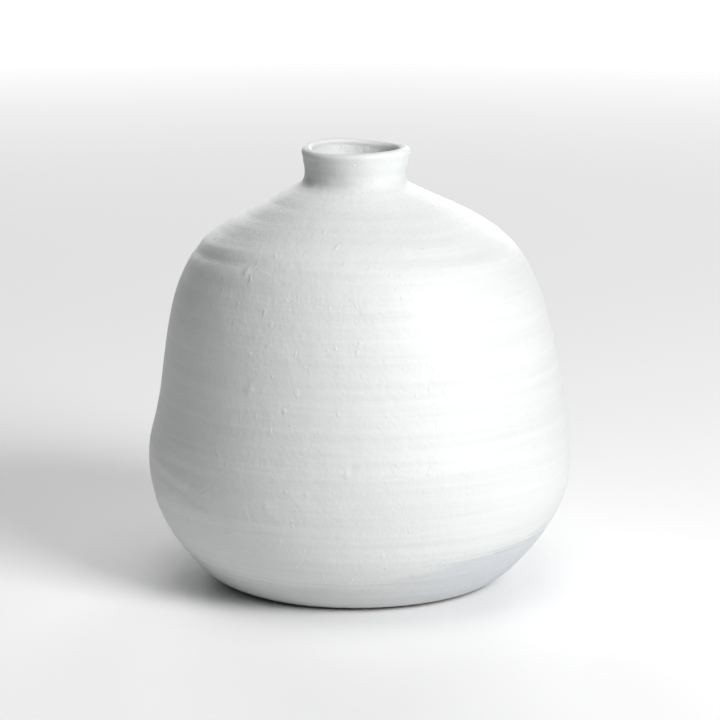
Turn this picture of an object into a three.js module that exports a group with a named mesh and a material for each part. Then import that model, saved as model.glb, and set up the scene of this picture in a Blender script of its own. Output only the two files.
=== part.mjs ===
// A squat, hand-thrown bud vase: two thrown sections and a neck collar luted together with slip,
// a turned foot, a matt white glaze outside, a thin brushed band at the foot and a liner inside.
// Millimetres, +Z up, the foot standing on z = 0 and the wheel's axis on x = y = 0.
import * as THREE from "three";

// Overall sizes.
const height = 165; // from the foot's face to the crest of the lip
const bellyRadius = 80; // outside, at the widest
const bellyHeight = 45; // where the wall is widest

// The turned foot.
const footRadius = 50; // outside of the ring that it stands on
const footWidth = 8; // width of the ring's face
const footRecess = 2.5; // how far the underside is turned away inside the ring
const footSlope = 1.5; // how far the inside of the ring slopes in
const footOverhang = 1.5; // how far the glaze's lower edge stands out past the ring
const footReveal = 0.8; // bare clay between the floor and the glaze
const floorThickness = 5; // clay in the middle of the floor

// The joins between the thrown pieces.
const seamHeight = 58; // lower edge of the join at the belly
const seamInset = 0.5; // how far the wall has come in there from its widest
const slipThickness = 0.8; // of the layer of slip that holds two pieces together

// The neck.
const neckHeight = 16.5; // from the foot of the neck to the crest of the lip
const neckRootRadius = 24.5; // outside, where the shoulder turns up into the neck
const neckWaistRadius = 19.5; // outside, at the narrowest
const neckWaistDrop = 10.5; // from the crest of the lip down to the narrowest
const lipRadius = 20.8; // outside, at the lip

// Thickness of the clay and of the glazes.
const clayAtFoot = 6;
const clayAtNeck = 2.4;
const coatThickness = 0.8; // the white glaze outside
const bandThickness = 0.5; // the thin band that shows below it
const bandHeight = 17; // where the band goes under the white glaze
const linerThickness = 0.5; // the glaze inside
const mouthLap = 8; // how far the white glaze runs down into the mouth
const clearance = 0.1; // left between two pieces that are fired together

// How far the axis has wandered sideways, as a pot's does on the wheel.
const leanAtFoot = -1.2;
const leanAtNeck = -1.6;

// Directions of the outside wall, in degrees above the horizontal on the way up.
const footRise = 16;
const upright = 90;
const wallLean = 99; // just above the join, where the wall turns inwards
const shoulderLean = 151; // where the shoulder meets the neck

const roundSegments = 40;
const lipSteps = 6; // an even number, so that one point is the crest

// A curve between two points of the outline. It leaves and arrives in the given directions, and each
// pull says how far it keeps to that direction, as a share of the distance between the points.
function bend(from, fromAngle, fromPull, to, toAngle, toPull) {
  const reach = from.distanceTo(to);
  const leave = heading(fromAngle).multiplyScalar(fromPull * reach).add(from);
  const arrive = heading(toAngle).multiplyScalar(-toPull * reach).add(to);
  return new THREE.CubicBezierCurve(from, leave, arrive, to);
}

function heading(degrees) {
  const angle = THREE.MathUtils.degToRad(degrees);
  return new THREE.Vector2(Math.cos(angle), Math.sin(angle));
}

// The share of a rising curve below a height, found by halving.
function shareBelow(curve, z) {
  let low = 0;
  let high = 1;
  for (let i = 0; i < 30; i++) {
    const middle = (low + high) / 2;
    if (curve.getPoint(middle).y < z) low = middle;
    else high = middle;
  }
  return low;
}

// The outline: the outside of the glazed wall from the foot to the lip, as radius and height.
const lipHalf = clayAtNeck / 2 + coatThickness;
const footEdge = new THREE.Vector2(footRadius + footOverhang, footReveal);
const belly = new THREE.Vector2(bellyRadius, bellyHeight);
const seamLow = new THREE.Vector2(bellyRadius - seamInset, seamHeight);
const seamWidth = slipThickness + 2 * clearance;
const seamHigh = seamLow.clone().addScaledVector(heading(wallLean), seamWidth);
const neckRoot = new THREE.Vector2(neckRootRadius, height - neckHeight);
const domeTop = neckRoot.clone().addScaledVector(heading(shoulderLean), -seamWidth);
const neckWaist = new THREE.Vector2(neckWaistRadius, height - neckWaistDrop);
const lip = new THREE.Vector2(lipRadius, height - lipHalf);

const bowlCurve = bend(footEdge, footRise, 0.29, belly, upright, 0.28);
const flankCurve = bend(belly, upright, 0.6, seamLow, wallLean, 0.1);
const domeCurve = bend(seamHigh, wallLean, 0.8, domeTop, shoulderLean, 0.36);
const filletCurve = bend(neckRoot, shoulderLean, 0.45, neckWaist, upright, 0.45);
const flareCurve = bend(neckWaist, upright, 0.4, lip, upright, 0.25);

// Each place in the outline is a point and the direction that faces out of the wall there.
const outline = [];

function addPlace(curve, share) {
  const along = curve.getTangent(share);
  outline.push({ point: curve.getPoint(share), out: new THREE.Vector2(along.y, -along.x) });
  return outline.length - 1;
}

// Adds a stretch of a curve to the outline, after its first point, and gives the place where it ends.
function follow(curve, steps, from = 0, to = 1) {
  for (let i = 1; i <= steps; i++) addPlace(curve, THREE.MathUtils.lerp(from, to, i / steps));
  return outline.length - 1;
}

// Crosses a join in a straight line, over the layer of slip and the clearances on its two sides.
// It gives the places of the slip's two edges and of the far side.
function crossJoin(from, to) {
  const line = new THREE.LineCurve(from, to);
  const share = clearance / seamWidth;
  const slipLow = follow(line, 1, 0, share);
  const slipHigh = follow(line, 1, share, 1 - share);
  return [slipLow, slipHigh, follow(line, 1, 1 - share, 1)];
}

const bandShare = shareBelow(bowlCurve, bandHeight);
const coatShare = shareBelow(bowlCurve, bandHeight + clearance);
const linerShare = shareBelow(flareCurve, height - mouthLap);
const lapShare = shareBelow(flareCurve, height - mouthLap + clearance);
const atFoot = addPlace(bowlCurve, 0);
const atBandTop = follow(bowlCurve, 3, 0, bandShare);
const atCoatFoot = follow(bowlCurve, 1, bandShare, coatShare);
follow(bowlCurve, 4, coatShare, 1);
const atBowlTop = follow(flankCurve, 1);
const [atBellySlip, atBellySlipTop, atDomeFoot] = crossJoin(seamLow, seamHigh);
const atDomeTop = follow(domeCurve, 8);
const [atNeckSlip, atNeckSlipTop, atNeckRoot] = crossJoin(domeTop, neckRoot);
follow(filletCurve, 4);
const atLinerTop = follow(flareCurve, 1, 0, linerShare);
const atLapFoot = follow(flareCurve, 1, linerShare, lapShare);
const atLip = follow(flareCurve, 2, lapShare, 1);

// The point a depth inside the outline.
function inside(i, depth) {
  const { point, out } = outline[i];
  return point.clone().addScaledVector(out, -depth);
}

// The clay thins evenly with height, from the foot to the neck.
function clay(i) {
  const share = THREE.MathUtils.clamp(outline[i].point.y / neckRoot.y, 0, 1);
  return THREE.MathUtils.lerp(clayAtFoot, clayAtNeck, share);
}

// How deep each face lies inside the outline.
const coatFace = () => 0;
const bandFace = () => coatThickness - bandThickness;
const glazeBack = () => coatThickness - clearance;
const clayOutside = () => coatThickness;
const clayInside = (i) => coatThickness + clay(i);
const linerBack = (i) => clayInside(i) + clearance;
const linerFace = (i) => clayInside(i) + linerThickness;
const lapFace = (i) => clayInside(i) + coatThickness;

// The points of one face between two places, going up or down the wall.
function face(depth, from, to) {
  const step = Math.sign(to - from);
  const points = [];
  for (let i = from; i !== to + step; i += step) points.push(inside(i, depth(i)));
  return points;
}

// The round of the lip from outside to inside, without its two ends: a half circle about the
// middle of the clay there.
function lipRound(radius) {
  const centre = inside(atLip, coatThickness + clayAtNeck / 2);
  const points = [];
  for (let i = 1; i < lipSteps; i++) {
    points.push(heading((180 * i) / lipSteps).multiplyScalar(radius).add(centre));
  }
  return points;
}

// How far the axis has wandered at a height: at the foot and at the neck, and not at the belly.
function lean(z) {
  const low = 1 - THREE.MathUtils.smoothstep(z, 0, bellyHeight);
  const high = THREE.MathUtils.smoothstep(z, seamHeight, neckRoot.y);
  return leanAtFoot * low + leanAtNeck * high;
}

// Turns a profile about the upright axis, then leans it.
function turned(profile) {
  const geometry = new THREE.LatheGeometry(profile, roundSegments);
  geometry.rotateX(Math.PI / 2);
  const position = geometry.attributes.position;
  for (let i = 0; i < position.count; i++) {
    position.setX(i, position.getX(i) + lean(position.getZ(i)));
  }
  return geometry;
}

// A ring's profile runs up its outside and down its inside, and closes on itself.
function ring(up, down) {
  return [...up, ...down, up[0]];
}

const onAxis = (z) => new THREE.Vector2(0, z);
const floorTop = footRecess + floorThickness;

function bowlProfile() {
  const ringInside = footRadius - footWidth;
  return [
    onAxis(footRecess),
    new THREE.Vector2(ringInside - footSlope, footRecess),
    new THREE.Vector2(ringInside, 0),
    new THREE.Vector2(footRadius, 0),
    ...face(clayOutside, atFoot, atBowlTop),
    ...face(clayInside, atBowlTop, atFoot),
    onAxis(floorTop),
  ];
}

// A piece of the clay wall between two places.
function wallProfile(from, to) {
  return ring(face(clayOutside, from, to), face(clayInside, to, from));
}

function collarProfile() {
  const up = [...face(clayOutside, atNeckRoot, atLip), ...lipRound(clayAtNeck / 2)];
  return ring(up, face(clayInside, atLip, atNeckRoot));
}

function coatProfile() {
  const outside = [...face(coatFace, atCoatFoot, atLip), ...lipRound(lipHalf)];
  const mouth = [...face(lapFace, atLip, atLapFoot), ...face(linerBack, atLapFoot, atLip)];
  const back = lipRound(clayAtNeck / 2 + clearance).reverse();
  return ring([...outside, ...mouth], [...back, ...face(glazeBack, atLip, atCoatFoot)]);
}

function bandProfile() {
  return ring(face(bandFace, atFoot, atBandTop), face(glazeBack, atBandTop, atFoot));
}

function linerProfile() {
  return [
    onAxis(floorTop + clearance),
    ...face(linerBack, atFoot, atLinerTop),
    ...face(linerFace, atLinerTop, atFoot),
    onAxis(floorTop + linerThickness),
  ];
}

const firedClay = new THREE.MeshStandardMaterial({ color: 0xa8988a, roughness: 0.9 });
const firedSlip = new THREE.MeshStandardMaterial({ color: 0x9c8d80, roughness: 0.95 });
const mattWhite = new THREE.MeshStandardMaterial({ color: 0xe3e6e4, roughness: 0.6 });
const brushedBand = new THREE.MeshStandardMaterial({ color: 0xc9ccd3, roughness: 0.7 });
const linerWhite = new THREE.MeshStandardMaterial({ color: 0xdde0de, roughness: 0.35 });

const vase = new THREE.Group();

function addPiece(name, profile, material) {
  const piece = new THREE.Mesh(turned(profile), material);
  piece.name = name;
  vase.add(piece);
}

addPiece("bowl_section", bowlProfile(), firedClay);
addPiece("belly_slip_seam", wallProfile(atBellySlip, atBellySlipTop), firedSlip);
addPiece("dome_section", wallProfile(atDomeFoot, atDomeTop), firedClay);
addPiece("neck_slip_seam", wallProfile(atNeckSlip, atNeckSlipTop), firedSlip);
addPiece("neck_collar", collarProfile(), firedClay);
addPiece("outer_glaze", coatProfile(), mattWhite);
addPiece("foot_glaze_band", bandProfile(), brushedBand);
addPiece("liner_glaze", linerProfile(), linerWhite);

export default vase;
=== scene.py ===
import bpy
import numpy as np
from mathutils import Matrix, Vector


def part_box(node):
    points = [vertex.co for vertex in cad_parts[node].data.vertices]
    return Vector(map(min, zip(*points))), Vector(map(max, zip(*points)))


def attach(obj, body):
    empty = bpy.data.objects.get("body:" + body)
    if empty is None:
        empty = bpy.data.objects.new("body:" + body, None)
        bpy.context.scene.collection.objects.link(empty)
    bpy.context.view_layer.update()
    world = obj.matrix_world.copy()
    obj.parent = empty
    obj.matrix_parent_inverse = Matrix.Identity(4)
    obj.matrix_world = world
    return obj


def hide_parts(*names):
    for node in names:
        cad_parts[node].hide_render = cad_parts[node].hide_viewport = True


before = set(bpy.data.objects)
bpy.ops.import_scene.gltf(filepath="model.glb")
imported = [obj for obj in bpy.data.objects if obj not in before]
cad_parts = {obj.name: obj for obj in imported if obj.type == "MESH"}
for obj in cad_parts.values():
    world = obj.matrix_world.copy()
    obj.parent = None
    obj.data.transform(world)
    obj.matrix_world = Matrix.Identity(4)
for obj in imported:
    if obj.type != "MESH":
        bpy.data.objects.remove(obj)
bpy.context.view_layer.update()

mm = 0.001  # the wall is worked out in millimetres and made into metres in buildMesh

# Angles round the vase are in degrees from the front, positive towards +X. Heights are in
# millimetres above the surface that the vase stands on.


def nodeBox(node):  # lowest and highest corner of a part of the frame, in millimetres
    low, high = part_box(node)
    return np.array(low) / mm, np.array(high) / mm


coatBox = nodeBox("outer_glaze")
bellySeamBox = nodeBox("belly_slip_seam")
linerBox = nodeBox("liner_glaze")
print("frame loaded:", len(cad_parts), "parts")

# the wall ---------------------------------------------------------------------------------------

wallForm = {
    "bellyRadius": (coatBox[1][0] - coatBox[0][0]) / 2,
    "bellyHeight": 45.0,
    "footRadius": 51.5,  # where the glaze ends above the foot ring
    "footLift": 0.8,
    "footRise": 16.0,  # degrees above level, where the wall leaves the foot
    "seamHeight": bellySeamBox[0][2] + 0.6,  # the join of the two thrown sections, in the middle
    "seamTilt": 3.6,  # how much higher the join is on the right, and lower on the left
    "seamInset": 0.5,
    "wallLean": 100.6,  # degrees, just above the join
    "shoulderLean": 153.0,  # degrees, at the foot of the neck
    "domePulls": (0.69, 0.46),  # how far the dome keeps to those two angles
    "rootPulls": (0.455, 0.455),
    "neckRootRadius": 25.9,
    "neckRootDrop": 16.4,  # below the crest of the lip
    "waistRadius": 19.05,
    "waistDrop": 9.9,
    "lipRadius": 20.5,
    "crest": coatBox[1][2],
    "rimWarp": 0.55,  # the rim rises and falls twice in a turn, and more at the back
    "rimWarpBack": 0.45,
}
thickness = {"coat": 0.8, "band": 0.5, "liner": 0.5, "clayFoot": 6.0, "clayNeck": 2.4, "gap": 0.06}
lipHalf = thickness["clayNeck"] / 2 + thickness["coat"]

# how far the axis stands to the side at the foot and at the neck, as in the CAD
lean = {"foot": -1.2, "neck": -1.6}


def smoothStep(value, low, high):
    # 0 below low, 1 above high, and t x t x (3 - 2t) between them.
    t = np.clip((value - low) / (high - low), 0, 1)
    return t * t * (3 - 2 * t)


def leanAt(height):
    # The sideways shift: all of it at the foot, none at the belly, and all of it at the neck.
    low = 1 - smoothStep(height, 0.0, wallForm["bellyHeight"])
    high = smoothStep(height, wallForm["seamHeight"], wallForm["crest"] - wallForm["neckRootDrop"])
    return lean["foot"] * low + lean["neck"] * high


def bend(t, start, startAngle, startPull, end, endAngle, endPull):
    # Cubic curve from start to end, each (radius, height): it leaves and arrives along the two
    # angles, and each pull is how far it keeps to its angle, as a share of the distance between
    # the ends. Gives the points and the direction along the curve.
    reach = np.hypot(end[0] - start[0], end[1] - start[1])
    a, b = np.radians(startAngle), np.radians(endAngle)
    leave = (start[0] + startPull * reach * np.cos(a), start[1] + startPull * reach * np.sin(a))
    arrive = (end[0] - endPull * reach * np.cos(b), end[1] - endPull * reach * np.sin(b))
    corners = (start, leave, arrive, end)
    weights = ((1 - t) ** 3, 3 * (1 - t) ** 2 * t, 3 * (1 - t) * t**2, t**3)
    slopes = (-((1 - t) ** 2), (1 - t) * (1 - 3 * t), t * (2 - 3 * t), t**2)
    point = [sum(w * c[k] for w, c in zip(weights, corners)) for k in (0, 1)]
    along = [sum(w * c[k] for w, c in zip(slopes, corners)) for k in (0, 1)]
    return np.stack(point, -1), np.stack(along, -1)


def wallAt(angle, stage):
    # The outside of the wall at every angle (down the rows) and stage (across). The stage runs
    # 0 to 5: foot, belly, join, neck root, waist, lip, with one bend between each two. Gives the
    # points as (radius, height) and the direction that faces out.
    f = wallForm
    join = f["seamHeight"] + f["seamTilt"] * np.sin(np.radians(angle))
    flat = 0 * join
    turn = np.radians(angle)
    rim = f["rimWarp"] * (1 - f["rimWarpBack"] * np.cos(turn)) * np.sin(2 * turn)
    places = [
        (f["footRadius"] + flat, f["footLift"] + flat),
        (f["bellyRadius"] + flat, f["bellyHeight"] + flat),
        (f["bellyRadius"] - f["seamInset"] + flat, join),
        (f["neckRootRadius"] + flat, f["crest"] - f["neckRootDrop"] + flat),
        (f["waistRadius"] + flat, f["crest"] - f["waistDrop"] + flat),
        (f["lipRadius"] + flat, f["crest"] - lipHalf + rim),
    ]
    bends = [
        (f["footRise"], 0.29, 90.0, 0.28),
        (90.0, 0.5, 92.0, 0.3),
        (f["wallLean"], f["domePulls"][0], f["shoulderLean"], f["domePulls"][1]),
        (f["shoulderLean"], f["rootPulls"][0], 90.0, f["rootPulls"][1]),
        (90.0, 0.4, 86.0, 0.25),
    ]
    point, along = np.zeros(stage.shape + (2,)), np.zeros(stage.shape + (2,))
    for k, (a, pullA, b, pullB) in enumerate(bends):
        here = (stage >= k) & (stage <= k + 1)
        p, q = bend(np.clip(stage - k, 0, 1), places[k], a, pullA, places[k + 1], b, pullB)
        point[here], along[here] = p[here], q[here]
    along /= np.hypot(along[..., 0], along[..., 1])[..., None]
    return point, np.stack((along[..., 1], -along[..., 0]), -1)


# stage against height and against length along the wall, on the front, for placing things
stageTable = np.linspace(0, 5, 1001)
tablePoint = wallAt(np.zeros((1, 1)), stageTable[None])[0][0]
tableStep = np.hypot(*np.diff(tablePoint, axis=0).T)
tableLength = np.concatenate(([0], np.cumsum(tableStep)))


def stageAtHeight(height):
    return np.interp(height, tablePoint[:, 1], stageTable)


def lengthAtStage(stage):
    return np.interp(stage, stageTable, tableLength)


def lengthAtHeight(height):
    return np.interp(height, tablePoint[:, 1], tableLength)


def evenStages(low, high, count):
    # Stages between two, evenly spaced along the wall.
    return np.interp(np.linspace(lengthAtStage(low), lengthAtStage(high), count), tableLength, stageTable)


# marks of the hand ------------------------------------------------------------------------------

# ridges and grooves left by the fingers: height on the wall, half width, rise (a groove is
# negative), the side where it is strongest, how far round it spreads (0 is all round, evenly)
# and the slope of its line, in millimetres up the wall for each 10 degrees round
fingerMarks = [
    {"height": 161.3, "width": 0.9, "rise": -0.45, "side": -58, "spread": 38, "slope": 0.0},
    {"height": 147.6, "width": 1.2, "rise": 0.12, "side": -60, "spread": 60, "slope": 0.0},
    {"height": 145.4, "width": 1.0, "rise": -0.16, "side": -60, "spread": 45, "slope": 0.0},
    {"height": 143.4, "width": 1.1, "rise": 0.12, "side": -60, "spread": 60, "slope": 0.1},
    {"height": 141.0, "width": 1.1, "rise": -0.2, "side": -66, "spread": 40, "slope": 0.2},
    {"height": 138.4, "width": 1.4, "rise": 0.14, "side": -66, "spread": 50, "slope": 0.2},
    {"height": 135.2, "width": 1.6, "rise": -0.16, "side": -75, "spread": 40, "slope": 0.2},
    {"height": 131.6, "width": 1.9, "rise": 0.36, "side": -62, "spread": 40, "slope": 0.6},
    {"height": 128.2, "width": 1.5, "rise": -0.42, "side": -62, "spread": 34, "slope": 0.5},
    {"height": 124.6, "width": 2.0, "rise": 0.12, "side": -60, "spread": 40, "slope": 0.3},
    {"height": 120.8, "width": 2.4, "rise": -0.22, "side": -60, "spread": 25, "slope": 0.0},
    {"height": 136.6, "width": 1.5, "rise": -0.1, "side": 45, "spread": 40, "slope": -0.4},
    {"height": 133.6, "width": 1.4, "rise": 0.1, "side": 50, "spread": 45, "slope": -0.4},
    {"height": 130.4, "width": 1.5, "rise": -0.12, "side": 50, "spread": 40, "slope": -0.4},
    {"height": 127.2, "width": 1.8, "rise": 0.12, "side": 45, "spread": 45, "slope": -0.3},
    {"height": 67.4, "width": 2.6, "rise": -0.16, "side": -54, "spread": 14, "slope": -2.4},
    {"height": 62.4, "width": 2.4, "rise": 0.18, "side": -56, "spread": 17, "slope": -1.8},
    {"height": 55.6, "width": 2.8, "rise": -0.24, "side": -58, "spread": 17, "slope": -2.0},
    {"height": 49.8, "width": 2.4, "rise": 0.18, "side": -60, "spread": 20, "slope": -1.8},
    {"height": 43.8, "width": 1.8, "rise": -0.2, "side": -56, "spread": 15, "slope": -2.2},
    {"height": 39.6, "width": 2.4, "rise": 0.1, "side": -60, "spread": 26, "slope": -1.5},
    {"height": 60.5, "width": 3.0, "rise": 0.2, "side": 80, "spread": 50, "slope": 0.6},
    {"height": 53.0, "width": 3.0, "rise": -0.14, "side": 70, "spread": 50, "slope": 0.4},
    {"height": 31.8, "width": 0.9, "rise": 0.08, "side": 40, "spread": 70, "slope": 0.1},
    {"height": 30.2, "width": 0.8, "rise": -0.1, "side": 40, "spread": 70, "slope": 0.1},
    {"height": 27.4, "width": 0.9, "rise": -0.1, "side": -8, "spread": 45, "slope": 0.1},
    {"height": 24.2, "width": 0.9, "rise": 0.1, "side": 40, "spread": 60, "slope": -0.2},
    {"height": 22.4, "width": 0.8, "rise": -0.12, "side": 20, "spread": 60, "slope": -0.2},
    {"height": 14.4, "width": 0.9, "rise": 0.1, "side": 30, "spread": 60, "slope": 0.1},
    {"height": 10.4, "width": 0.8, "rise": -0.1, "side": 40, "spread": 60, "slope": 0.0},
    {"height": 6.6, "width": 0.8, "rise": 0.08, "side": 20, "spread": 80, "slope": 0.0},
]


def makeFarMarks(count, seed):
    # More marks of the same kind round the sides and the back, at random.
    rng = np.random.default_rng(seed)
    return [
        {"height": rng.uniform(24, 143), "width": rng.uniform(1.2, 3.0),
         "rise": rng.uniform(0.08, 0.26) * rng.choice((-1, 1)), "side": rng.uniform(112, 248),
         "spread": rng.uniform(18, 34), "slope": rng.uniform(-1.2, 1.2)}
        for _ in range(count)
    ]


farMarks = makeFarMarks(30, 41)
wobble = {"waves": 26, "size": 0.16, "seed": 11}  # the slow unevenness of the whole wall
oval = {"size": 0.0016, "side": 35.0}  # how far the pot is from round


def waves(angle, length, count, seed, aroundMost, alongShortest):
    # Sum of slow waves over the wall, each a whole number of times round so that it closes: the
    # cosine of (turns x angle + length over a random spacing + a random start), about 1 high.
    rng = np.random.default_rng(seed)
    turns = rng.integers(0, aroundMost + 1, count)
    pitch = alongShortest * (1 + 3 * rng.random(count))
    start = rng.random(count) * 2 * np.pi
    total = np.zeros(np.broadcast(angle, length).shape)
    for n, p, s in zip(turns, pitch, start):
        total += np.cos(n * np.radians(angle) + 2 * np.pi * length / p + s)
    return total / np.sqrt(count / 2)


def outerRelief(angle, length):
    # How far the outside stands proud of its smooth curve: a bell-shaped ridge for each finger
    # mark, on a sloping line that fades away from its strongest side in a bell shape, and waves.
    total = np.zeros(np.broadcast(angle, length).shape)
    for mark in fingerMarks + farMarks:
        away = (angle - mark["side"] + 180) % 360 - 180
        middle = lengthAtHeight(mark["height"]) + mark["slope"] * np.clip(away, -60, 60) / 10
        strength = mark["rise"] + 0 * away
        if mark["spread"]:
            strength = mark["rise"] * np.exp(-((away / mark["spread"]) ** 2))
        total += strength * np.exp(-(((length - middle) / mark["width"]) ** 2))
    total += wobble["size"] * waves(angle, length, wobble["waves"], wobble["seed"], 3, 22.0)
    return total


def innerRelief(angle, length):
    # Inside, even ridges a finger apart that climb one spacing in a turn.
    ridge = 0.35 * np.cos(2 * np.pi * length / 9.0 + np.radians(angle))
    return ridge + 0.15 * waves(angle, length, 20, 5, 4, 25.0)


blemishes = {"count": 90, "seed": 23, "sizeLow": 0.8, "sizeHigh": 1.5, "rise": 0.16, "pits": 0.25}
placedBlemishes = [  # angle, height, size, rise
    (-2.0, 60.7, 1.1, -0.4),
    (20.0, 89.1, 0.9, -0.3),
    (-41.0, 126.9, 1.2, 0.35),
    (-32.0, 87.4, 1.2, 0.35),
    (-25.0, 44.8, 1.3, 0.3),
    (-22.0, 31.7, 1.1, 0.25),
    (-38.0, 76.0, 1.1, 0.2),
    (-15.0, 71.0, 1.2, 0.18),
    (-20.0, 98.0, 1.0, 0.2),
]


def blemishRelief(angle, length):
    # Small round bumps and pits in the glaze: a bell shape about each one's place.
    rng = np.random.default_rng(blemishes["seed"])
    total = np.zeros(np.broadcast(angle, length).shape)
    count = blemishes["count"]
    low, high = lengthAtHeight(25.0), lengthAtHeight(135.0)
    spots = [
        (rng.uniform(-180, 180), rng.uniform(low, high),
         rng.uniform(blemishes["sizeLow"], blemishes["sizeHigh"]),
         blemishes["rise"] * rng.uniform(0.3, 1.0) * (-1 if rng.random() < blemishes["pits"] else 1))
        for _ in range(count)
    ]
    spots += [(a, lengthAtHeight(h), size, rise) for a, h, size, rise in placedBlemishes]
    point = wallAt(np.zeros((1, 1)), stageTable[None])[0][0]
    for spotAngle, spotLength, size, rise in spots:
        radius = np.interp(spotLength, tableLength, point[:, 0])
        across = np.radians((angle - spotAngle + 180) % 360 - 180) * radius
        total += rise * np.exp(-(across**2 + (length - spotLength) ** 2) / size**2)
    return total


# sections and meshes ----------------------------------------------------------------------------

aroundCount = {"fine": 448, "coarse": 192}


def anglesRound(count):
    # Angles all round, down the rows, starting at the back where the finger marks fade.
    return (np.arange(count) * 360.0 / count - 180.0)[:, None]


def clayDepth(point):
    # The clay thins evenly with height.
    share = np.clip(point[..., 1] / (wallForm["crest"] - wallForm["neckRootDrop"]), 0, 1)
    return thickness["clayFoot"] + (thickness["clayNeck"] - thickness["clayFoot"]) * share


def face(angle, stage, kind, extra=0.0):
    # One face of the wall as (radius, height): "out" faces lie extra inside the outside surface,
    # "in" faces lie extra inside the clay's inner surface.
    stage = np.broadcast_to(stage, (len(angle), np.shape(stage)[-1]))
    point, out = wallAt(angle, stage)
    length = lengthAtStage(stage)
    if kind == "out":
        shift = outerRelief(angle, length) + blemishRelief(angle, length) - extra
    else:
        fade = np.clip((3.0 - stage) / 0.4, 0, 1)  # the neck and the mouth are smooth inside
        shift = fade * innerRelief(angle, length) - thickness["coat"] - clayDepth(point) - extra
    return point + out * shift[..., None]


def lipRound(angle, half, count):
    # Half round over the lip from outside to inside, a little squarer than a circle, without its
    # ends. Its height wavers by a few hundredths.
    stage = np.full((len(angle), 1), 5.0)
    point, out = wallAt(angle, stage)
    relief = outerRelief(angle, lengthAtStage(stage))
    centre = point - out * (lipHalf - relief)[..., None]
    up = np.stack((-out[..., 1], out[..., 0]), -1)
    turn = np.radians(np.linspace(0, 180, count + 2)[1:-1])[None, :, None]
    square = 2 / 2.1
    side = half * np.sign(np.cos(turn)) * np.abs(np.cos(turn)) ** square
    rise = half * np.sin(turn) ** square
    waver = 1 + 0.05 * waves(angle, 0.0, 6, 3, 5, 10.0)[..., None]
    return centre + out * side + up * rise * waver


def spin(section, angle):
    # Turns sections into space: the radius swells and shrinks twice in a turn, and the axis
    # leans sideways with height.
    radius, height = section[..., 0], section[..., 1]
    swell = 1 + oval["size"] * np.cos(2 * np.radians(angle - oval["side"]))
    shift = leanAt(height)
    turn = np.radians(angle)
    x = radius * swell * np.sin(turn) + shift
    y = -radius * swell * np.cos(turn)
    return np.stack((x, y, height), -1)


def buildMesh(name, points, closedAcross):
    # A mesh from a grid of points that closes round the pot. Across, it either closes on itself,
    # or its first and last columns are poles on the axis, where the faces become triangles.
    rows, columns = points.shape[:2]
    if closedAcross:
        vertices = points.reshape(-1, 3)
        index = np.arange(rows * columns).reshape(rows, columns)
        index = np.hstack((index, index[:, :1]))
    else:
        poles = points[:, (0, -1)].mean(0)
        vertices = np.vstack((points[:, 1:-1].reshape(-1, 3), poles))
        middle = rows * (columns - 2)
        index = np.arange(middle).reshape(rows, columns - 2)
        index = np.hstack((np.full((rows, 1), middle), index, np.full((rows, 1), middle + 1)))
    index = np.vstack((index, index[:1]))
    quads = np.stack((index[:-1, :-1], index[1:, :-1], index[1:, 1:], index[:-1, 1:]), -1).reshape(-1, 4)
    if closedAcross:
        loops, sizes = quads.ravel(), np.full(len(quads), 4)
    else:
        quads = quads.reshape(rows, columns - 1, 4)
        first = quads[:, 0][:, (0, 2, 3)]
        last = quads[:, -1][:, (0, 1, 2)]
        inner = quads[:, 1:-1].reshape(-1, 4)
        loops = np.concatenate((inner.ravel(), first.ravel(), last.ravel()))
        sizes = np.concatenate((np.full(len(inner), 4), np.full(2 * rows, 3)))
    mesh = bpy.data.meshes.new(name)
    mesh.vertices.add(len(vertices))
    mesh.vertices.foreach_set("co", (vertices * mm).astype(np.float32).ravel())
    mesh.loops.add(len(loops))
    mesh.loops.foreach_set("vertex_index", loops.astype(np.int32))
    mesh.polygons.add(len(sizes))
    starts = np.concatenate(([0], np.cumsum(sizes)[:-1]))
    mesh.polygons.foreach_set("loop_start", starts.astype(np.int32))
    mesh.polygons.foreach_set("use_smooth", np.ones(len(sizes), bool))
    mesh.update(calc_edges=True)
    mesh.validate()
    return mesh


def addPiece(name, section, angle, closedAcross, material, node):
    mesh = buildMesh(name, spin(section, angle), closedAcross)
    mesh.materials.append(material)
    piece = bpy.data.objects.new(name, mesh)
    bpy.context.collection.objects.link(piece)
    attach(piece, "root")
    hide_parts(node)
    print(name, "made:", len(mesh.polygons), "faces")
    return piece


# camera -----------------------------------------------------------------------------------------

view = {"distance": 1280.0, "pitch": 12.2, "aimHeight": 83.4, "lens": 169.0, "sensor": 36.0}


def addCamera():
    pitch = np.radians(view["pitch"])
    camera = bpy.data.objects.new("viewCamera", bpy.data.cameras.new("viewCamera"))
    camera.data.lens = view["lens"]
    camera.data.sensor_width = view["sensor"]
    camera.data.clip_start = 0.05
    camera.data.clip_end = 20.0
    back, rise = np.cos(pitch) * view["distance"], np.sin(pitch) * view["distance"]
    camera.location = Vector((0.0, -back, view["aimHeight"] + rise)) * mm
    camera.rotation_euler = (np.pi / 2 - pitch, 0.0, 0.0)
    bpy.context.collection.objects.link(camera)
    bpy.context.scene.camera = camera


addCamera()
print("camera placed")


# materials --------------------------------------------------------------------------------------


def newMaterial(name, colour, roughness):
    material = bpy.data.materials.new(name)
    material.use_nodes = True
    shader = material.node_tree.nodes["Principled BSDF"]
    shader.inputs["Base Color"].default_value = (*colour, 1.0)
    shader.inputs["Roughness"].default_value = roughness
    return material


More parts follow.
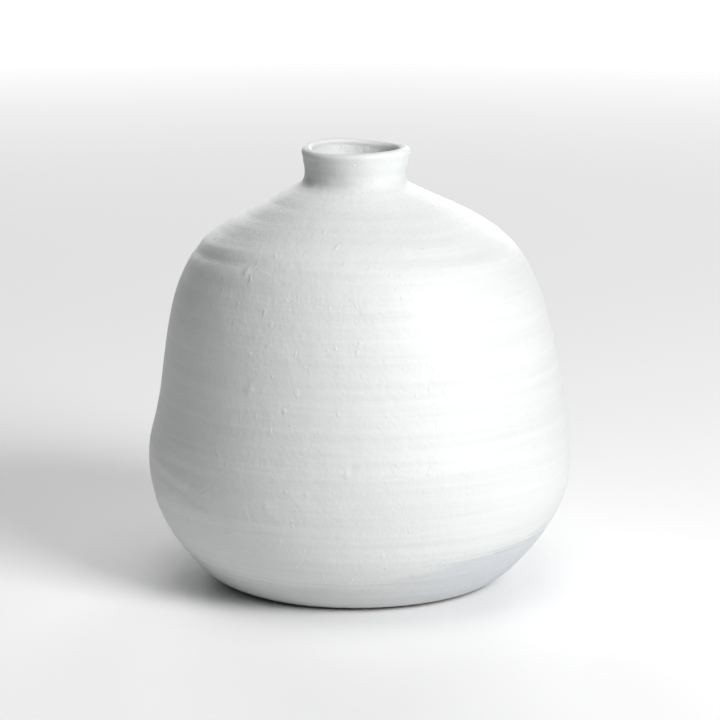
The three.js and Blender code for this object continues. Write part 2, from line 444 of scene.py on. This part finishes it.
glazeLook = {
    "coat": (0.72, 0.738, 0.729),
    "thin": (0.66, 0.672, 0.67),
    "cool": (0.60, 0.618, 0.645),
    "coolFrom": -0.01,  # metres along X, from where the thin glaze cools to where it is coolest
    "coolTo": 0.06,
    "blend": (-2.0, 5.5),  # millimetres above the edge, from thin glaze to full coat
    "streak": 12.0,  # how far the brush drags that blend up and down, in millimetres
    "cloud": 0.03,  # how much lighter and darker the glaze is in slow patches
    "line": 0.028,  # and in the thin lines of the brush
    "grain": 0.12,  # heights of the small unevenness, in millimetres
    "lump": 0.26,
    "brush": 0.07,
    "speck": 0.1,
}


def addNode(tree, kind, **settings):
    node = tree.nodes.new(kind)
    for name, value in settings.items():
        setattr(node, name, value)
    return node


def addMath(tree, operation, first, second):
    node = addNode(tree, "ShaderNodeMath", operation=operation)
    for socket, value in zip(node.inputs, (first, second)):
        if isinstance(value, (int, float)):
            socket.default_value = value
        else:
            tree.links.new(value, socket)
    return node.outputs[0]


def addRange(tree, value, low, high, toLow=0.0, toHigh=1.0):
    node = addNode(tree, "ShaderNodeMapRange", interpolation_type="SMOOTHSTEP")
    tree.links.new(value, node.inputs["Value"])
    for name, number in (("From Min", low), ("From Max", high), ("To Min", toLow), ("To Max", toHigh)):
        node.inputs[name].default_value = number
    return node.outputs["Result"]


def addNoise(tree, place, scale, detail):
    # Noise from 0 to 1 at a place stretched by its own scale on each axis.
    stretch = addNode(tree, "ShaderNodeMapping")
    stretch.inputs["Scale"].default_value = scale
    tree.links.new(place, stretch.inputs["Vector"])
    noise = addNode(tree, "ShaderNodeTexNoise")
    noise.inputs["Scale"].default_value = 1.0
    noise.inputs["Detail"].default_value = detail
    tree.links.new(stretch.outputs["Vector"], noise.inputs["Vector"])
    return noise.outputs["Fac"]


def addMix(tree, share, first, second):
    node = addNode(tree, "ShaderNodeMix", data_type="RGBA")
    tree.links.new(share, node.inputs[0])
    for socket, value in ((node.inputs[6], first), (node.inputs[7], second)):
        if isinstance(value, tuple):
            socket.default_value = (*value, 1.0)
        else:
            tree.links.new(value, socket)
    return node.outputs[2]


def glazeMaterial(name, roughness):
    # The white glaze and the thin band that shows below it: one blends into the other in dragged
    # streaks, by the distance above the edge, and the thin glaze is cooler on the right.
    look = glazeLook
    material = newMaterial(name, look["coat"], roughness)
    tree = material.node_tree
    shader = tree.nodes["Principled BSDF"]
    place = addNode(tree, "ShaderNodeTexCoord").outputs["Object"]
    side = addNode(tree, "ShaderNodeSeparateXYZ")
    tree.links.new(place, side.inputs[0])
    cool = addRange(tree, side.outputs["X"], look["coolFrom"], look["coolTo"])
    thin = addMix(tree, cool, look["thin"], look["cool"])
    above = addNode(tree, "ShaderNodeAttribute", attribute_name="aboveEdge").outputs["Fac"]
    streak = addNoise(tree, place, (14.0, 14.0, 520.0), 3.0)
    drag = addMath(tree, "MULTIPLY", addMath(tree, "SUBTRACT", streak, 0.5), 2 * look["streak"])
    share = addRange(tree, addMath(tree, "ADD", above, drag), *look["blend"])
    colour = addMix(tree, share, thin, look["coat"])
    patches = addNoise(tree, place, (9.0, 9.0, 60.0), 2.0)
    cloud = addRange(tree, patches, 0.25, 0.75, -look["cloud"], look["cloud"])
    brush = addNoise(tree, place, (12.0, 12.0, 430.0), 4.0)
    line = addRange(tree, brush, 0.25, 0.75, -look["line"], look["line"])
    shade = addMath(tree, "ADD", addMath(tree, "ADD", cloud, line), 1.0)
    dim = addNode(tree, "ShaderNodeVectorMath", operation="SCALE")
    tree.links.new(colour, dim.inputs[0])
    tree.links.new(shade, dim.inputs["Scale"])
    tree.links.new(dim.outputs["Vector"], shader.inputs["Base Color"])
    grain = addMath(tree, "MULTIPLY", addNoise(tree, place, (700.0, 700.0, 600.0), 2.0), look["grain"])
    lump = addMath(tree, "MULTIPLY", addNoise(tree, place, (150.0, 150.0, 130.0), 2.0), look["lump"])
    wiped = addMath(tree, "MULTIPLY", brush, look["brush"])
    speck = addRange(tree, addNoise(tree, place, (420.0, 420.0, 300.0), 0.0), 0.73, 0.83, 0.0, look["speck"])
    height = addMath(tree, "ADD", addMath(tree, "ADD", grain, lump), addMath(tree, "ADD", wiped, speck))
    bump = addNode(tree, "ShaderNodeBump")
    bump.inputs["Strength"].default_value = 1.0
    bump.inputs["Distance"].default_value = mm
    tree.links.new(height, bump.inputs["Height"])
    tree.links.new(bump.outputs["Normal"], shader.inputs["Normal"])
    return material


whiteGlaze = glazeMaterial("mattWhiteGlaze", 0.55)
bandGlaze = glazeMaterial("thinFootGlaze", 0.6)
linerWhite = newMaterial("linerGlaze", (0.78, 0.80, 0.79), 0.4)
firedClay = newMaterial("firedClay", (0.36, 0.30, 0.26), 0.9)
firedSlip = newMaterial("firedSlip", (0.33, 0.28, 0.24), 0.9)

# pieces -----------------------------------------------------------------------------------------

gap = thickness["gap"]
coatDepth = thickness["coat"]
bandDepth = coatDepth - thickness["band"]
lapStage = stageAtHeight(wallForm["crest"] - 8.0)


def joined(*parts):
    return np.concatenate(parts, axis=1)


# the white glaze was wiped back from the foot by hand: the height of its edge round the pot
coatEdge = {
    "angles": (-180, -140, -100, -60, -33, -15, 0, 15, 35, 60, 90, 120, 150, 180),
    "heights": (14.0, 15.5, 13.5, 12.0, 11.5, 11.0, 12.0, 15.0, 19.5, 23.0, 22.0, 17.0, 15.5, 14.0),
    "waver": 0.35,
    "feather": 3.5,
    "lap": 1.4,  # how far the thin band runs on under the edge
}


def edgeStage(angle):
    # The stage of the white glaze's edge: its height by angle, with short waves.
    height = np.interp(angle, coatEdge["angles"], coatEdge["heights"])
    height += coatEdge["waver"] * waves(angle, 0.0, 14, 8, 22, 10.0)
    return stageAtHeight(height)


def stagesFrom(low, high, count):
    # Stages from an uneven low edge up to one stage, evenly spaced along the wall at each angle.
    share = np.linspace(0, 1, count)
    length = lengthAtStage(low) * (1 - share) + lengthAtStage(high) * share
    return np.interp(length, tableLength, stageTable)


def makeOuterGlaze():
    angle = anglesRound(aroundCount["fine"])
    edge = edgeStage(angle)
    outside = stagesFrom(edge, 5.0, 166)
    above = lengthAtStage(outside) - lengthAtStage(edge)
    thin = (bandDepth + 0.06) * np.exp(-above / coatEdge["feather"])  # the tip sinks into the band
    mouth = evenStages(lapStage, 5.0, 6)[::-1]
    back = np.hstack((stagesFrom(edge, 3.0, 14), stagesFrom(3.0 + 0 * edge, 5.0, 12)[:, 1:]))[:, ::-1]
    section = joined(
        face(angle, outside, "out", thin),
        lipRound(angle, lipHalf, 13),
        face(angle, mouth, "in", coatDepth),
        face(angle, mouth[::-1], "in", gap),
        lipRound(angle, thickness["clayNeck"] / 2 + gap, 5)[:, ::-1],
        face(angle, back, "out", coatDepth - gap),
    )
    piece = addPiece("outerGlaze", section, angle, True, whiteGlaze, "outer_glaze")
    rest = np.full((len(angle), section.shape[1] - above.shape[1]), 99.0)
    addValue(piece, "aboveEdge", joined(above, rest))
    return piece


def addValue(piece, name, values):
    # A number on every vertex, for the material to read.
    layer = piece.data.attributes.new(name, "FLOAT", "POINT")
    layer.data.foreach_set("value", values.astype(np.float32).ravel())


def makeFootBand():
    angle = anglesRound(aroundCount["fine"])
    edge = lengthAtStage(edgeStage(angle))
    share = np.linspace(0, 1, 34)
    outside = np.interp((edge + coatEdge["lap"]) * share, tableLength, stageTable)
    back = outside[:, ::-3]
    section = joined(face(angle, outside, "out", bandDepth), face(angle, back, "out", coatDepth - gap))
    piece = addPiece("footGlazeBand", section, angle, True, bandGlaze, "foot_glaze_band")
    addValue(piece, "aboveEdge", lengthAtStage(np.hstack((outside, back))) - edge)
    return piece


def makeLiner():
    angle = anglesRound(aroundCount["coarse"])
    top = lapStage - 0.02
    up = evenStages(0.0, top, 70)
    lower, upper = face(angle, up, "in", gap), face(angle, up[::-1], "in", thickness["liner"])
    floorCount = 10
    spread = np.linspace(0, 1, floorCount)[None, :-1, None]
    flat = np.array((0.0, linerBox[0][2]))
    low = flat + (lower[:, :1] - flat) * spread
    flat = np.array((0.0, linerBox[0][2] + thickness["liner"]))
    high = (flat + (upper[:, -1:] - flat) * spread)[:, ::-1]
    section = joined(low, lower, upper, high)
    return addPiece("linerGlaze", section, angle, False, linerWhite, "liner_glaze")


foot = {"ringOut": 50.0, "ringWidth": 8.0, "recess": 2.5, "slope": 1.5, "edge": 0.5}


def makeBowl():
    angle = anglesRound(aroundCount["coarse"])
    top = 2.0
    up = evenStages(0.0, top, 40)
    outside, inside = face(angle, up, "out", coatDepth), face(angle, up[::-1], "in")
    inner = foot["ringOut"] - foot["ringWidth"]
    under = [
        (0.0, foot["recess"]), (inner * 0.33, foot["recess"]), (inner * 0.66, foot["recess"]),
        (inner - foot["slope"], foot["recess"]), (inner - foot["edge"], foot["edge"]), (inner, 0.0),
        (inner + foot["ringWidth"] / 2, 0.0), (foot["ringOut"] - foot["edge"], 0.0),
        (foot["ringOut"], foot["edge"]),
    ]
    under = np.broadcast_to(np.array(under), (len(angle), len(under), 2))
    spread = np.linspace(0, 1, 8)[None, :-1, None]
    flat = np.array((0.0, linerBox[0][2] - gap))
    floor = (flat + (inside[:, -1:] - flat) * spread)[:, ::-1]
    section = joined(under, outside, inside, floor)
    return addPiece("bowlSection", section, angle, False, firedClay, "bowl_section")


def makeWallPart(name, low, high, count, material, node):
    angle = anglesRound(aroundCount["coarse"])
    up = evenStages(low, high, count)
    section = joined(face(angle, up, "out", coatDepth), face(angle, up[::-1], "in"))
    return addPiece(name, section, angle, True, material, node)


def makeCollar():
    angle = anglesRound(aroundCount["coarse"])
    up = evenStages(3.0, 5.0, 16)
    section = joined(
        face(angle, up, "out", coatDepth),
        lipRound(angle, thickness["clayNeck"] / 2, 7),
        face(angle, up[::-1], "in"),
    )
    return addPiece("neckCollar", section, angle, True, firedClay, "neck_collar")


outerGlaze = makeOuterGlaze()
makeFootBand()
liner = makeLiner()
makeBowl()
seamEdge, neckEdge = 2.012, 2.994
makeWallPart("bellySlipSeam", 2.002, seamEdge - 0.002, 2, firedSlip, "belly_slip_seam")
makeWallPart("domeSection", seamEdge, neckEdge - 0.008, 70, firedClay, "dome_section")
makeWallPart("neckSlipSeam", neckEdge - 0.006, 2.999, 2, firedSlip, "neck_slip_seam")
makeCollar()

# light and floor --------------------------------------------------------------------------------


def addPanel(name, azimuth, elevation, distance, width, height, power, aim=0.08):
    # A soft panel that looks at the vase from an angle round it and above the floor.
    a, e = np.radians(azimuth), np.radians(elevation)
    data = bpy.data.lights.new(name, "AREA")
    data.shape = "RECTANGLE"
    data.size, data.size_y = width, height
    data.energy = power
    lamp = bpy.data.objects.new(name, data)
    target = Vector((0.0, 0.0, aim))
    lamp.location = target + Vector((np.sin(a) * np.cos(e), -np.cos(a) * np.cos(e), np.sin(e))) * distance
    lamp.rotation_euler = (target - lamp.location).to_track_quat("-Z", "Y").to_euler()
    bpy.context.collection.objects.link(lamp)
    return lamp


def addFloor():
    mesh = bpy.data.meshes.new("studioFloor")
    half = 6.0
    corners = [(-half, -half, 0), (half, -half, 0), (half, half, 0), (-half, half, 0)]
    mesh.from_pydata(corners, [], [(0, 1, 2, 3)])
    pale = newMaterial("paleFloor", (0.95, 0.95, 0.95), 0.8)
    mesh.materials.append(pale)
    floor = bpy.data.objects.new("studioFloor", mesh)
    bpy.context.collection.objects.link(floor)


def addWorld():
    world = bpy.data.worlds.new("studio")
    world.use_nodes = True
    back = world.node_tree.nodes["Background"]
    back.inputs["Color"].default_value = (1.0, 1.0, 1.0, 1.0)
    back.inputs["Strength"].default_value = 0.05
    bpy.context.scene.world = world


addPanel("keyPanel", 45, 28, 1.6, 0.7, 0.7, 23.0)
addPanel("topPanel", 0, 85, 1.6, 1.2, 1.2, 10.0)
addPanel("backRightPanel", 165, 15, 2.8, 1.0, 1.0, 20.0)
addPanel("backLeftPanel", -165, 15, 2.8, 1.0, 1.0, 20.0)
addFloor()
addWorld()
bpy.context.scene.view_settings.view_transform = "Standard"
print("lights and floor placed")
